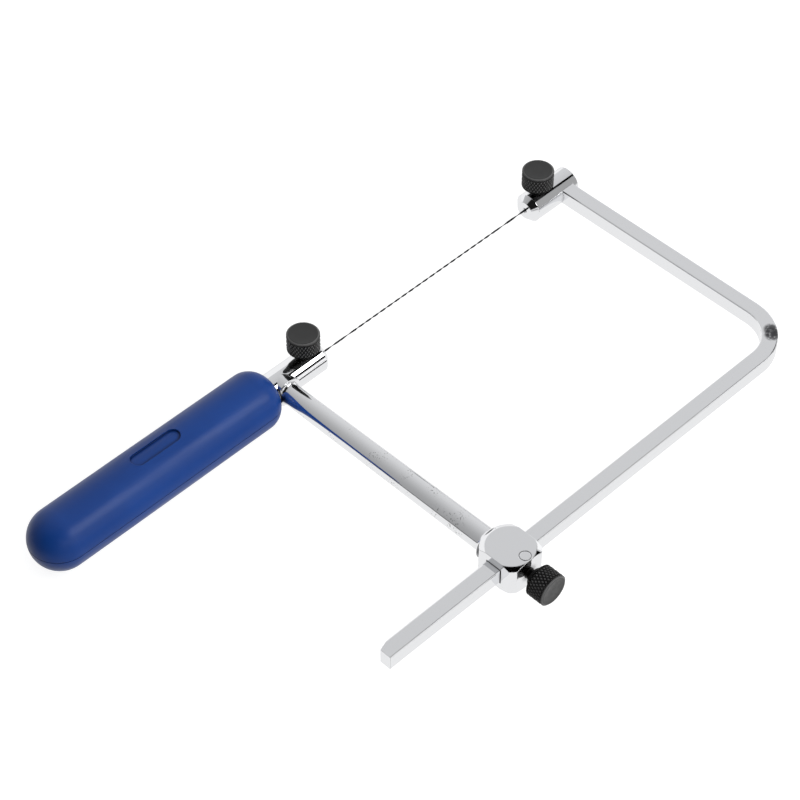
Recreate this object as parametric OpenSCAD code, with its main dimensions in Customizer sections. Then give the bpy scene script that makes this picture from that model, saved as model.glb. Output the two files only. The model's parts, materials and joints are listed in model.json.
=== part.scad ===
// Adjustable fret saw: a cast frame with a hub, a bent square bar that slides in it,
// a spiral blade held by two thumbscrews, and a two-piece moulded handle.
// The blade lies along X and the thumbscrews of the blade point up.

/* [Handle] */
// Diameter of the straight back part of the handle
handle_d = 22.2; // [18:0.1:28]
// Diameter of the handle at its rounded front
handle_front_d = 22; // [17:0.1:28]
// Length of the straight back part, before the slight taper
handle_straight = 30; // [15:0.5:40]
// Length of the handle from butt to tip
handle_l = 104.7; // [90:0.1:130]
// Distance from the tip of the handle to the axis of the arm
handle_gap = 4; // [4:0.1:10]
// Radius of the rounding at the front of the handle
handle_nose_r = 8; // [4:0.5:9]
// Wall of the two hollow halves
handle_wall = 2.6; // [1.5:0.1:3.5]
// Width of the open line along the seam of each half
seam_w = 0.12; // [0.05:0.01:0.4]
// Depth of the open line along the seam
seam_depth = 0.4; // [0.1:0.05:1]
// Length of the label recess on top
recess_l = 20.6; // [10:0.1:40]
// Width of the label recess
recess_w = 5.8; // [3:0.1:9]
// Depth of the label recess
recess_depth = 0.8; // [0.3:0.1:1.2]
// Distance from the middle of the recess to the axis of the arm
recess_x = 55.3; // [40:0.1:75]
// Thickness of the ribs inside the handle
rib_t = 2.4; // [1.5:0.1:4]
// Diameter of the pegs that locate the halves
peg_d = 2; // [1:0.1:2.6]
// Diameter of the bosses that carry the pegs
peg_boss_d = 4.4; // [3.6:0.1:5]
// Height of the pegs above the seam
peg_h = 3; // [1:0.1:4]

/* [Tang] */
// Diameter of the steel tang rod
tang_d = 6; // [4:0.1:7]
// Length of the tang rod
tang_l = 64; // [45:1:75]
// Depth of the tang rod in the post
tang_socket = 10; // [6:0.5:14]
// Diameter of the pin across the tang
tang_pin_d = 2.5; // [1.5:0.1:4]
// Length of the pin across the tang
tang_pin_l = 13; // [9:0.5:15]
// Distance from the pin to the end of the tang
tang_pin_end = 5; // [3:0.5:10]

/* [Frame] */
// Diameter of the post at the handle
post_d = 11.2; // [9:0.1:13]
// Distance from the axis of the arm to the front of the post
post_front = 20.6; // [18:0.1:30]
// Distance from the axis of the arm to the back of the post, inside the handle
post_back = 14; // [10:0.5:20]
// Distance between the axes of the blade and the bar
throat = 110; // [70:1:200]
// Diameter of the arm at the post
arm_post_d = 7.8; // [5:0.1:7.8]
// Diameter of the arm at the hub
arm_hub_d = 9; // [6:0.1:10]
// Radius of the fillets at both ends of the arm
arm_fillet = 1.5; // [0.5:0.1:2]

/* [Hub] */
// Diameter of the hub
hub_d = 20.6; // [18:0.1:28]
// Height of the hub
hub_h = 12.4; // [11:0.1:18]
// Width of the chamfers on the rims of the hub
hub_chamfer = 1.8; // [0.5:0.1:2.4]
// Height of the chamfers on the rims of the hub
hub_chamfer_h = 1; // [0.3:0.1:2.4]
// Distance between the two flats that the bar passes
hub_flats = 15.6; // [12:0.1:17]
// Distance from the axis of the hub to the flat of the lock screw
hub_face = 8.5; // [7.5:0.1:9]
// Diameter of the moulding mark on top of the hub
mark_d = 4.3; // [2:0.1:6]
// Distance from the axis of the hub to the moulding mark, towards the lock screw
mark_y = 6.1; // [3:0.1:6.2]
// Distance from the axis of the hub to the moulding mark, along the bar
mark_x = 0.4; // [0:0.1:3]

/* [Bar] */
// Width of the square bar
bar_w = 6; // [4:0.1:7]
// Radius of the edges of the bar
bar_edge = 0.5; // [0.1:0.1:1]
// Radius of the bend on the axis of the bar
bend_r = 17; // [8:0.5:30]
// Length of the tail behind the axis of the arm
tail_l = 57.7; // [20:0.1:90]
// Length of the slanted end of the tail
tail_taper_l = 4.8; // [1:0.1:10]
// Depth of the slanted end of the tail
tail_taper_w = 1.5; // [0.5:0.1:2.5]

/* [Far clamp] */
// Diameter of the far clamp barrel
head_d = 11.2; // [9:0.1:13]
// Distance from the far leg to the blade end of the barrel
head_front = 18; // [16:0.1:24]
// Distance from the far leg to the outer end of the barrel
head_back = 5.6; // [4:0.1:10]
// Chamfer of both clamps at the blade
nose_chamfer = 2.1; // [0.5:0.1:2.6]
// Chamfer of the outer clamp ends
end_chamfer = 0.5; // [0.1:0.1:1]
// Rise of the slightly domed outer clamp ends
end_dome = 0.5; // [0.2:0.1:1]

/* [Thumbscrews] */
// Diameter of the knurled heads
knob_d = 11.8; // [8:0.1:14]
// Height of the knurled heads
knob_h = 7.3; // [4:0.1:10]
// Chamfer of the knurled heads
knob_chamfer = 0.6; // [0.2:0.1:1.2]
// Distance from a clamp barrel to the underside of a head
knob_lift = 3; // [2.4:0.1:6]
// Distance from the flat of the hub to the underside of the lock screw's head
lock_lift = 3.6; // [2.4:0.1:6]
// Diameter of the collar under a head
collar_d = 6.9; // [5:0.1:8]
// Height of the collar
collar_h = 1.6; // [0.5:0.1:2]
// Diameter of the screw shanks
screw_d = 4; // [3:0.1:5]
// Height of the brass pads under the screws
pad_h = 2; // [1:0.1:2.4]
// Distance from the near screw to the axis of the arm
near_screw_x = 12.5; // [10.5:0.1:13]
// Distance from the far screw to the far leg
far_screw_x = 11.5; // [8:0.1:12]

/* [Blade] */
// Width of the strip that the spiral blade is twisted from
blade_w = 0.7; // [0.6:0.05:1.6]
// Thickness of the strip
blade_t = 0.2; // [0.15:0.05:0.6]
// Length of the blade
blade_l = 130; // [100:1:180]
// Length of each flat end of the blade
blade_plain = 14; // [10:0.5:20]
// Length of the slow twist between each flat end and the even twist
blade_ease = 15.5; // [5:0.5:20]
// Length of the blade past each clamp screw
blade_past = 6; // [3:0.1:6.2]
// Length of one full turn of the even twist
blade_pitch = 7.1; // [4:0.1:20]

/* [Fits] */
// Radial clearance of the screws and pads in their bores
screw_clear = 0.05; // [0.02:0.01:0.1]
// Clearance on each side of the bar in the hub
bar_clear = 0.3; // [0.05:0.01:0.4]
// Clearance of pressed and seated pieces
seat_clear = 0.02; // [0.01:0.01:0.05]
// Radial clearance of the tang, post and pin in the handle
handle_clear = 0.05; // [0.02:0.01:0.1]
// Radial clearance of the blade in its holes
blade_clear = 0.2; // [0.1:0.05:0.5]

/* [Hidden] */
$fn = 64;

blue = "#263c82";
plated = "#c9cacf";
black = "#242426";
steel = "#8d8f92";
bronze = "#b08d4c";

overlap = 1;
big = 400;
turn_step = 22.5;
slow_turn = 360;
mark_line = 0.3;
mark_deep = 0.25;

// Handle
handle_r = handle_d / 2;
handle_tip = -handle_gap;
handle_butt = handle_tip - handle_l;
nose_r = min(handle_nose_r, handle_front_d / 2 - overlap);

// Tang
tang_front = -post_back + tang_socket;
tang_back = tang_front - tang_l;
pin_x = tang_back + tang_pin_end;

// Blade holes and screws
blade_r = norm([blade_w, blade_t]) / 2;
blade_hole_r = blade_r + blade_clear;
post_r = post_d / 2;
head_r = head_d / 2;
blade_start = near_screw_x - blade_past;
far_x = blade_start + blade_l - blade_past;
pad_base = blade_r + seat_clear;
bore_r = screw_d / 2 + screw_clear;
bar_side = throat + bar_w / 2 + seat_clear;

// Distance from the axis of the arm to the far leg, set by the length of the blade
reach = far_x + far_screw_x;

// Extents and the place of the origin, under the middle of the whole saw
x_min = handle_butt;
x_max = reach + max(head_back, bar_w / 2);
y_min = -throat - hub_face - lock_lift - knob_h;
y_max = max(handle_r, post_r, head_r);
z_min = -max(handle_r, post_r, head_r, hub_h / 2);

module place() {
    translate([-(x_min + x_max) / 2, -(y_min + y_max) / 2, -z_min])
        children();
}

// Turns +Z to +X
module along_x() {
    rotate([0, 90, 0])
        children();
}

// Turns +Z to -X
module along_minus_x() {
    rotate([0, -90, 0])
        children();
}

// Turns +Z to -Y
module along_minus_y() {
    rotate([90, 0, 0])
        children();
}

// Outline of the handle, its radius along X and its length along Y
module handle_outline(inset) {
    r = handle_r - inset;
    front = handle_front_d / 2 - inset;
    nose = max(nose_r - inset, 0.5);
    butt_centre = handle_butt + handle_r;
    nose_centre = handle_tip - inset - nose;
    intersection() {
        translate([0, -big])
            square([big, 2 * big]);
        union() {
            translate([0, butt_centre])
                circle(r);
            polygon([
                [0, butt_centre], [r, butt_centre], [r, butt_centre + handle_straight],
                [front, nose_centre], [0, nose_centre]
            ]);
            translate([0, nose_centre])
                square([front - nose, nose]);
            translate([front - nose, nose_centre])
                circle(nose);
        }
    }
}

module handle_body(inset) {
    along_x()
        rotate_extrude()
            handle_outline(inset);
}

// A disc across the handle from one place to another
module handle_disc(from, to) {
    translate([from, 0, 0])
        along_x()
            cylinder(r = handle_r, h = to - from);
}

// Places of the pegs: two beside the tang and two on the axis behind it
function peg_places() =
    let (side = (handle_r - handle_wall + tang_d / 2) / 2)
    let (front = -post_back - rib_t - 2 * peg_boss_d)
    let (rear = [tang_back - 2 * peg_boss_d, handle_butt + handle_r])
    [[front, side], [front, -side], [rear[0], 0], [rear[1], 0]];

module pegs(d, base, h) {
    for (p = peg_places())
        translate([p[0], p[1], base])
            cylinder(d = d, h = h);
}

// Ribs that hold the post, the tang and its pin, and the bosses of the pegs
module handle_ribs() {
    pin_block = tang_pin_d / 2 + rib_t;
    intersection() {
        handle_body(handle_wall / 2);
        union() {
            handle_disc(-post_back - rib_t, handle_tip);
            handle_disc((pin_x - post_back - rib_t) / 2, (pin_x - post_back) / 2);
            handle_disc(pin_x - pin_block, pin_x + pin_block);
            pegs(peg_boss_d, -handle_r, handle_d);
        }
    }
}

// Bores that the post, the tang and its pin lie in
module handle_bores() {
    translate([-post_back, 0, 0])
        along_x()
            cylinder(r = post_r + handle_clear, h = post_back);
    translate([tang_back - handle_clear, 0, 0])
        along_x()
            cylinder(d = tang_d + 2 * handle_clear, h = tang_l);
    translate([pin_x, tang_pin_l / 2 + handle_clear, 0])
        along_minus_y()
            cylinder(d = tang_pin_d + 2 * handle_clear, h = tang_pin_l + 2 * handle_clear);
}

// Both halves together, before they are parted along the seam
module handle_whole() {
    difference() {
        union() {
            difference() {
                handle_body(0);
                handle_body(handle_wall);
            }
            handle_ribs();
        }
        handle_bores();
    }
}

// Open line along the seam
module seam_line() {
    difference() {
        translate([-big / 2, -big / 2, -seam_w])
            cube([big, big, 2 * seam_w]);
        handle_body(seam_depth);
    }
}

// Slot with round ends that sinks to an even depth below the top of the handle
module label_recess() {
    straight = recess_l - recess_w;
    difference() {
        translate([-recess_x, 0, 0]) {
            for (end = [-1, 1])
                translate([end * straight / 2, 0, 0])
                    cylinder(d = recess_w, h = handle_d);
            translate([-straight / 2, -recess_w / 2, 0])
                cube([straight, recess_w, handle_d]);
        }
        handle_body(recess_depth);
    }
}

module upper_space() {
    translate([-big / 2, -big / 2, 0])
        cube(big);
}

module handle_upper_half() {
    color(blue)
        place()
            difference() {
                intersection() {
                    handle_whole();
                    upper_space();
                }
                label_recess();
                seam_line();
                pegs(peg_d + 2 * handle_clear, 0, peg_h + handle_clear);
            }
}

module handle_lower_half() {
    color(blue)
        place()
            union() {
                difference() {
                    handle_whole();
                    upper_space();
                    seam_line();
                }
                pegs(peg_d, -overlap, overlap + peg_h);
            }
}

module tang_rod() {
    color(steel)
        place()
            difference() {
                translate([tang_back, 0, 0])
                    along_x()
                        cylinder(d = tang_d, h = tang_l - seat_clear);
                translate([pin_x, handle_r, 0])
                    along_minus_y()
                        cylinder(d = tang_pin_d + 2 * seat_clear, h = handle_d);
            }
}

module tang_cross_pin() {
    color(steel)
        place()
            translate([pin_x, tang_pin_l / 2, 0])
                along_minus_y()
                    cylinder(d = tang_pin_d, h = tang_pin_l);
}

// Clamp barrel along Z, slightly domed at zero and with a wide chamfer at the blade end
module barrel(d, l) {
    r = d / 2;
    c = end_chamfer;
    n = nose_chamfer;
    dome_r = (pow(r, 2) + pow(end_dome, 2)) / (2 * end_dome);
    rotate_extrude()
        intersection() {
            polygon([[0, 0], [r - c, 0], [r, c], [r, l - n], [r - n, l], [0, l]]);
            translate([0, dome_r])
                union() {
                    circle(dome_r);
                    square([d, l]);
                }
        }
}

// Radius of the tapered arm at a distance from the axis of the post
function arm_r(y) = (arm_post_d + (arm_hub_d - arm_post_d) * y / throat) / 2;

// Outline of a fillet that widens the arm over one fillet radius, towards the given way
module fillet_outline(y, way) {
    f = arm_fillet;
    difference() {
        translate([0, way > 0 ? y : y - f])
            square([arm_r(y) + f, f]);
        translate([arm_r(y) + f, y])
            circle(f);
    }
}

// Arm with its fillet at the hub, its axis along Z
module arm_solid() {
    rotate_extrude()
        union() {
            polygon([[0, 0], [arm_r(0), 0], [arm_r(throat), throat], [0, throat]]);
            fillet_outline(throat - hub_d / 2 - arm_fillet / 2, 1);
        }
}

// Fillet of the arm at the post, cut back where it would meet the handle
module arm_root() {
    limit = handle_gap - handle_clear - seat_clear;
    y = post_r + arm_fillet;
    intersection() {
        rotate_extrude()
            union() {
                fillet_outline(y, -1);
                square([arm_r(y) + arm_fillet, post_r]);
            }
        translate([-limit, -big / 2, 0])
            cube(big);
    }
}

// Hub on its own axis, chamfered on both rims and cut by three flats
module hub_solid() {
    r = hub_d / 2;
    c = hub_chamfer;
    down = hub_chamfer_h;
    h = hub_h / 2;
    intersection() {
        rotate_extrude()
            polygon([[0, -h], [r - c, -h], [r, down - h], [r, h - down], [r - c, h], [0, h]]);
        translate([-hub_flats / 2, -hub_face, -hub_h])
            cube([hub_flats, hub_face + hub_d, 2 * hub_h]);
    }
}

// Fine ring pressed into the top of the hub
module moulding_mark() {
    translate([mark_x, -mark_y, hub_h / 2 - mark_deep])
        difference() {
            cylinder(d = mark_d, h = hub_h);
            translate([0, 0, -overlap])
                cylinder(d = mark_d - 2 * mark_line, h = 2 * hub_h);
        }
}

// Bore of a blade screw, from the axis of the blade upwards
module screw_bore(x) {
    translate([x, 0, 0])
        cylinder(r = bore_r, h = big / 4);
}

module blade_hole(from, to) {
    translate([from, 0, 0])
        along_x()
            cylinder(r = blade_hole_r, h = to - from);
}

// Cone that leads the blade into its hole at a clamp face
module lead_in(x, way) {
    deep = 2 * blade_hole_r;
    translate([x, 0, 0])
        rotate([0, -90 * way, 0])
            translate([0, 0, -overlap])
                cylinder(r1 = deep + overlap, r2 = 0, h = deep + overlap);
}

module frame_casting() {
    color(plated)
        place()
            difference() {
                union() {
                    translate([-post_back, 0, 0])
                        along_x()
                            barrel(post_d, post_back + post_front);
                    along_minus_y() {
                        arm_solid();
                        arm_root();
                    }
                    translate([0, -throat, 0])
                        hub_solid();
                }
                translate([0, -throat, 0])
                    moulding_mark();
                translate([-big / 2, -throat - bar_w / 2 - bar_clear, -bar_w / 2 - bar_clear])
                    cube([big, bar_w + 2 * bar_clear, bar_w + 2 * bar_clear]);
                translate([0, -throat, 0])
                    along_minus_y()
                        cylinder(r = bore_r, h = hub_d);
                translate([-post_back - overlap, 0, 0])
                    along_x()
                        cylinder(d = tang_d + 2 * seat_clear, h = tang_socket + overlap);
                screw_bore(near_screw_x);
                blade_hole(blade_start - blade_clear, post_front + overlap);
                lead_in(post_front, 1);
            }
}

// Square section of the bar with rounded edges
module bar_section(grow) {
    w = bar_w + 2 * grow;
    flat = w - 2 * bar_edge;
    square([w, flat], center = true);
    square([flat, w], center = true);
    for (sx = [-1, 1], sy = [-1, 1])
        translate([sx * flat / 2, sy * flat / 2])
            circle(bar_edge);
}

// The far leg stops in the barrel, clear of the blade
leg_end = -blade_hole_r - bar_edge;

module slide_bar() {
    straight = reach - bend_r;
    color(plated)
        place()
            difference() {
                union() {
                    translate([straight, -throat, 0])
                        mirror([1, 0, 0])
                            along_x()
                                linear_extrude(straight + tail_l)
                                    bar_section(0);
                    translate([straight, bend_r - throat, 0])
                        rotate([0, 0, -90])
                            rotate_extrude(angle = 90)
                                translate([bend_r, 0])
                                    bar_section(0);
                    translate([reach, bend_r - throat, 0])
                        mirror([0, 1, 0])
                            along_minus_y()
                                linear_extrude(throat - bend_r + leg_end)
                                    bar_section(0);
                }
                // slanted side of the tail
                translate([-tail_l, bar_w / 2 - tail_taper_w - throat, -bar_w])
                    rotate([0, 0, atan2(tail_taper_w, tail_taper_l)])
                        translate([-bar_w, 0, 0])
                            cube([bar_w + 2 * tail_taper_l, bar_w, 2 * bar_w]);
            }
}

module far_clamp_head() {
    color(plated)
        place()
            difference() {
                translate([reach + head_back, 0, 0])
                    along_minus_x()
                        barrel(head_d, head_front + head_back);
                translate([reach, leg_end + seat_clear, 0])
                    along_minus_y()
                        linear_extrude(throat)
                            bar_section(seat_clear);
                screw_bore(far_x);
                blade_hole(reach - head_front - overlap, reach + head_back + overlap);
                lead_in(reach - head_front, -1);
            }
}

// Thumbscrew on its axis: the clamped face at the origin and the tip below it
module thumb_screw(tip, lift) {
    knob = knob_d / 2;
    c = knob_chamfer;
    top = lift + knob_h;
    shank = screw_d / 2;
    collar = collar_d / 2;
    rotate_extrude()
        polygon([
            [0, -tip], [shank, -tip], [shank, lift - collar_h], [collar, lift - collar_h],
            [collar, lift], [knob - c, lift], [knob, lift + c],
            [knob, top - c], [knob - c, top], [0, top]
        ]);
}

// Screw of a blade clamp of the given radius
module blade_screw(x, r) {
    color(black)
        place()
            translate([x, 0, r])
                thumb_screw(r - pad_base - pad_h - seat_clear, knob_lift);
}

module blade_pad(x) {
    color(bronze)
        place()
            translate([x, 0, pad_base])
                cylinder(d = screw_d, h = pad_h);
}

module near_blade_screw() {
    blade_screw(near_screw_x, post_r);
}

module far_blade_screw() {
    blade_screw(far_x, head_r);
}

module near_blade_pad() {
    blade_pad(near_screw_x);
}

module far_blade_pad() {
    blade_pad(far_x);
}

module bar_lock_screw() {
    color(black)
        place()
            translate([0, -throat - hub_face, 0])
                along_minus_y()
                    thumb_screw(throat + hub_face - bar_side - pad_h - seat_clear, lock_lift);
}

module bar_lock_shoe() {
    color(bronze)
        place()
            translate([0, -bar_side, 0])
                along_minus_y()
                    cylinder(d = screw_d, h = pad_h);
}

// Places along the blade by its turn there: a slow twist past each flat end and an even twist
// between, in whole half turns so that both ends lie flat
even_from = blade_plain + blade_ease;
even_l = blade_l - 2 * even_from;
even_turn = 180 * round(2 * even_l / blade_pitch);
whole_turn = even_turn + 2 * slow_turn;
turn_places = [
    [0, blade_plain],
    [slow_turn, even_from],
    [slow_turn + even_turn, even_from + even_l],
    [whole_turn, blade_l - blade_plain]
];

// Corners of the strip at a distance along the blade, turned to the right as it goes
function strip_corners(x, turn) = [
    for (s = [[1, 1], [1, -1], [-1, -1], [-1, 1]])
        let (across = s[0] * blade_w / 2, up = s[1] * blade_t / 2)
        [x, across * cos(turn) - up * sin(turn), across * sin(turn) + up * cos(turn)]
];

module spiral_blade() {
    turns = [0:turn_step:whole_turn];
    rings = concat(
        [strip_corners(0, 0)],
        [for (turn = turns) strip_corners(lookup(turn, turn_places), turn)],
        [strip_corners(blade_l, whole_turn)]
    );
    last = 4 * (len(rings) - 1);
    sides = [
        for (i = [0:len(rings) - 2], k = [0:3])
            let (a = 4 * i + k, b = 4 * i + (k + 1) % 4)
            each [[a, b + 4, b], [a, a + 4, b + 4]]
    ];
    ends = [[0, 1, 2], [0, 2, 3], [last, last + 2, last + 1], [last, last + 3, last + 2]];
    color(steel)
        place()
            translate([blade_start, 0, 0])
                polyhedron([for (ring = rings) each ring], concat(sides, ends));
}

handle_upper_half();
handle_lower_half();
frame_casting();
tang_rod();
tang_cross_pin();
slide_bar();
far_clamp_head();
near_blade_screw();
far_blade_screw();
bar_lock_screw();
near_blade_pad();
far_blade_pad();
bar_lock_shoe();
spiral_blade();
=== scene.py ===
"""Looks of the adjustable fret saw: knurled screws, the toothed blade, finishes and the studio."""

from __future__ import annotations

import json
import logging
import math
from dataclasses import dataclass
from enum import Enum

import bmesh
import bpy
from mathutils import Matrix, Vector

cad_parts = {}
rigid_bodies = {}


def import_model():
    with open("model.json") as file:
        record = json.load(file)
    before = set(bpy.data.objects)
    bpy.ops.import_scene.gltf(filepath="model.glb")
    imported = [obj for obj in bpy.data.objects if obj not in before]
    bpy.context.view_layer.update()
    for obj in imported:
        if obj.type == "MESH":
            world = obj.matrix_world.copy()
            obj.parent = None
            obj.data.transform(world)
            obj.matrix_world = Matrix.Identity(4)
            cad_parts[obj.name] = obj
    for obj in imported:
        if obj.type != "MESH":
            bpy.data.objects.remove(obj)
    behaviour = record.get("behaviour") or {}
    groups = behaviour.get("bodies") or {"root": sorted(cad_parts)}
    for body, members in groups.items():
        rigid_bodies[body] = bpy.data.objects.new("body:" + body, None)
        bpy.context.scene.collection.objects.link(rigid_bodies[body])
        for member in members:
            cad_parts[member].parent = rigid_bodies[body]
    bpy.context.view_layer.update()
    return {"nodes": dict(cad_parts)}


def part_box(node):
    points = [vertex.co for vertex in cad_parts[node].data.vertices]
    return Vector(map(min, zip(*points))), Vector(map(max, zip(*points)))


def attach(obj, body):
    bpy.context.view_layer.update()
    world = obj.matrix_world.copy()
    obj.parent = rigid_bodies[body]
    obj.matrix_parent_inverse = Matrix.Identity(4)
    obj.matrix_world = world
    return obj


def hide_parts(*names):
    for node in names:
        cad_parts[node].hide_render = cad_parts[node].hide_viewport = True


LOG = logging.getLogger("fret_saw")
MM = 0.001

Colour = tuple[float, float, float]
Point = tuple[float, float, float]
Span = tuple[float, float]

CHROME: Colour = (0.86, 0.865, 0.88)
NOISE_SPAN: Span = (0.3, 0.7)
CLOUD_SPAN: Span = (0.35, 0.7)
RISING: Span = (0.0, 1.0)
FALLING: Span = (1.0, 0.0)
LEVEL_GAP = 0.01 * MM
WELD_GAP = 0.002 * MM
MIX_FIRST = 6
MIX_SECOND = 7
MIX_COLOUR = 2


class Way(Enum):
    """The way that a thumbscrew's head points from the piece it clamps."""

    UP = "up"
    FRONT = "front"

    def turn(self) -> Matrix:
        """Finds the turn that takes +Z to this way.

        Returns:
            The turn as a matrix.
        """
        if self is Way.UP:
            return Matrix.Identity(4)
        return Matrix.Rotation(math.radians(90), 4, "X")


class Show(Enum):
    """What a studio card does: it gives light, only shows in the metal, or only shades."""

    LIGHT = "light"
    MIRROR = "mirror"
    SHADE = "shade"


class NodeBoard:
    """The node tree of one material, with short calls that add and join its nodes."""

    def __init__(self, name: str) -> None:
        """Starts a material with a principled shader.

        Args:
            name: Name of the material.
        """
        self.material = bpy.data.materials.new(name)
        self.material.use_nodes = True
        self.tree = self.material.node_tree
        self.shader = self.tree.nodes["Principled BSDF"]
        self.coords = self.add("ShaderNodeTexCoord").outputs["Object"]

    def add(self, kind: str, **settings: object) -> bpy.types.Node:
        """Adds a node.

        Args:
            kind: Blender's name for the node type.
            settings: Values of the node's own properties.

        Returns:
            The new node.
        """
        node = self.tree.nodes.new(kind)
        for key, value in settings.items():
            setattr(node, key, value)
        return node

    def join(self, source: bpy.types.NodeSocket, target: bpy.types.NodeSocket) -> None:
        """Links an output to an input."""
        self.tree.links.new(source, target)

    def set(self, **values: object) -> None:
        """Sets plain values on the shader's sockets, with _ for each space in a name."""
        for key, value in values.items():
            self.shader.inputs[key.replace("_", " ")].default_value = value

    def stretched(self, scale: Point) -> bpy.types.NodeSocket:
        """Stretches the pattern along the axes.

        Args:
            scale: Scale along each axis.

        Returns:
            The scaled object coordinates.
        """
        mapping = self.add("ShaderNodeMapping")
        mapping.inputs["Scale"].default_value = scale
        self.join(self.coords, mapping.inputs["Vector"])
        return mapping.outputs["Vector"]

    def noise(
        self, scale: float, detail: float = 2.0, coords: bpy.types.NodeSocket | None = None
    ) -> bpy.types.NodeSocket:
        """Adds a noise pattern.

        Args:
            scale: Patches per metre.
            detail: Number of finer layers.
            coords: Coordinates to read, or None for the object's own.

        Returns:
            The pattern's value.
        """
        node = self.add("ShaderNodeTexNoise")
        node.inputs["Scale"].default_value = scale
        node.inputs["Detail"].default_value = detail
        self.join(coords or self.coords, node.inputs["Vector"])
        return node.outputs["Fac"]

    def ranged(
        self, value: bpy.types.NodeSocket, low: float, high: float, to_low: float, to_high: float
    ) -> bpy.types.NodeSocket:
        """Maps a value from one range to another.

        Args:
            value: The value to map.
            low: Start of its range.
            high: End of its range.
            to_low: What the start becomes.
            to_high: What the end becomes.

        Returns:
            The mapped value.
        """
        node = self.add("ShaderNodeMapRange", interpolation_type="SMOOTHSTEP")
        node.inputs["From Min"].default_value = low
        node.inputs["From Max"].default_value = high
        node.inputs["To Min"].default_value = to_low
        node.inputs["To Max"].default_value = to_high
        self.join(value, node.inputs["Value"])
        return node.outputs["Result"]

    def product(self, *values: bpy.types.NodeSocket) -> bpy.types.NodeSocket:
        """Multiplies several values.

        Args:
            values: The values, two or more.

        Returns:
            Their product.
        """
        result = values[0]
        for value in values[1:]:
            node = self.add("ShaderNodeMath", operation="MULTIPLY")
            self.join(result, node.inputs[0])
            self.join(value, node.inputs[1])
            result = node.outputs["Value"]
        return result

    def mixed(
        self, factor: bpy.types.NodeSocket, first: Colour | bpy.types.NodeSocket, second: Colour
    ) -> bpy.types.NodeSocket:
        """Mixes two colours.

        Args:
            factor: How much of the second colour shows.
            first: A colour, or an output that gives one.
            second: The other colour.

        Returns:
            The mixed colour.
        """
        node = self.add("ShaderNodeMix", data_type="RGBA")
        self.join(factor, node.inputs["Factor"])
        if isinstance(first, tuple):
            node.inputs[MIX_FIRST].default_value = (*first, 1.0)
        else:
            self.join(first, node.inputs[MIX_FIRST])
        node.inputs[MIX_SECOND].default_value = (*second, 1.0)
        return node.outputs[MIX_COLOUR]

    def bumped(
        self,
        height: bpy.types.NodeSocket,
        strength: float,
        depth: float,
        normal: bpy.types.NodeSocket | None = None,
    ) -> bpy.types.NodeSocket:
        """Adds a bump.

        Args:
            height: The pattern that raises the surface.
            strength: Share of the bump that shows.
            depth: Height of the bump in metres.
            normal: The normal to build on.

        Returns:
            The bumped normal.
        """
        node = self.add("ShaderNodeBump")
        node.inputs["Strength"].default_value = strength
        node.inputs["Distance"].default_value = depth
        self.join(height, node.inputs["Height"])
        if normal is not None:
            self.join(normal, node.inputs["Normal"])
        return node.outputs["Normal"]

    def nooks(self, depth: float) -> bpy.types.NodeSocket:
        """Finds how open the surface lies.

        Args:
            depth: How far round a point is looked at, in metres.

        Returns:
            A value from 0, deep in a nook, to 1, in the open.
        """
        node = self.add("ShaderNodeAmbientOcclusion", samples=8)
        node.inputs["Distance"].default_value = depth
        return node.outputs["AO"]

    def likeness(self, normal: bpy.types.NodeSocket) -> bpy.types.NodeSocket:
        """Finds how closely a normal follows the true one.

        Args:
            normal: The normal to compare.

        Returns:
            A value that is 1 where they are the same.
        """
        node = self.add("ShaderNodeVectorMath", operation="DOT_PRODUCT")
        self.join(normal, node.inputs[0])
        self.join(self.add("ShaderNodeNewGeometry").outputs["True Normal"], node.inputs[1])
        return node.outputs["Value"]

    def far_from(self, point: Point) -> bpy.types.NodeSocket:
        """Measures the distance from a point.

        Args:
            point: The point in object coordinates.

        Returns:
            The distance in metres.
        """
        node = self.add("ShaderNodeVectorMath", operation="DISTANCE")
        node.inputs[1].default_value = point
        self.join(self.coords, node.inputs[0])
        return node.outputs["Value"]

    def rounded(self, radius: float) -> bpy.types.NodeSocket:
        """Rounds sharp edges in the shading.

        Args:
            radius: Radius of the rounding.

        Returns:
            The rounded normal.
        """
        node = self.add("ShaderNodeBevel", samples=6)
        node.inputs["Radius"].default_value = radius
        return node.outputs["Normal"]


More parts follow.
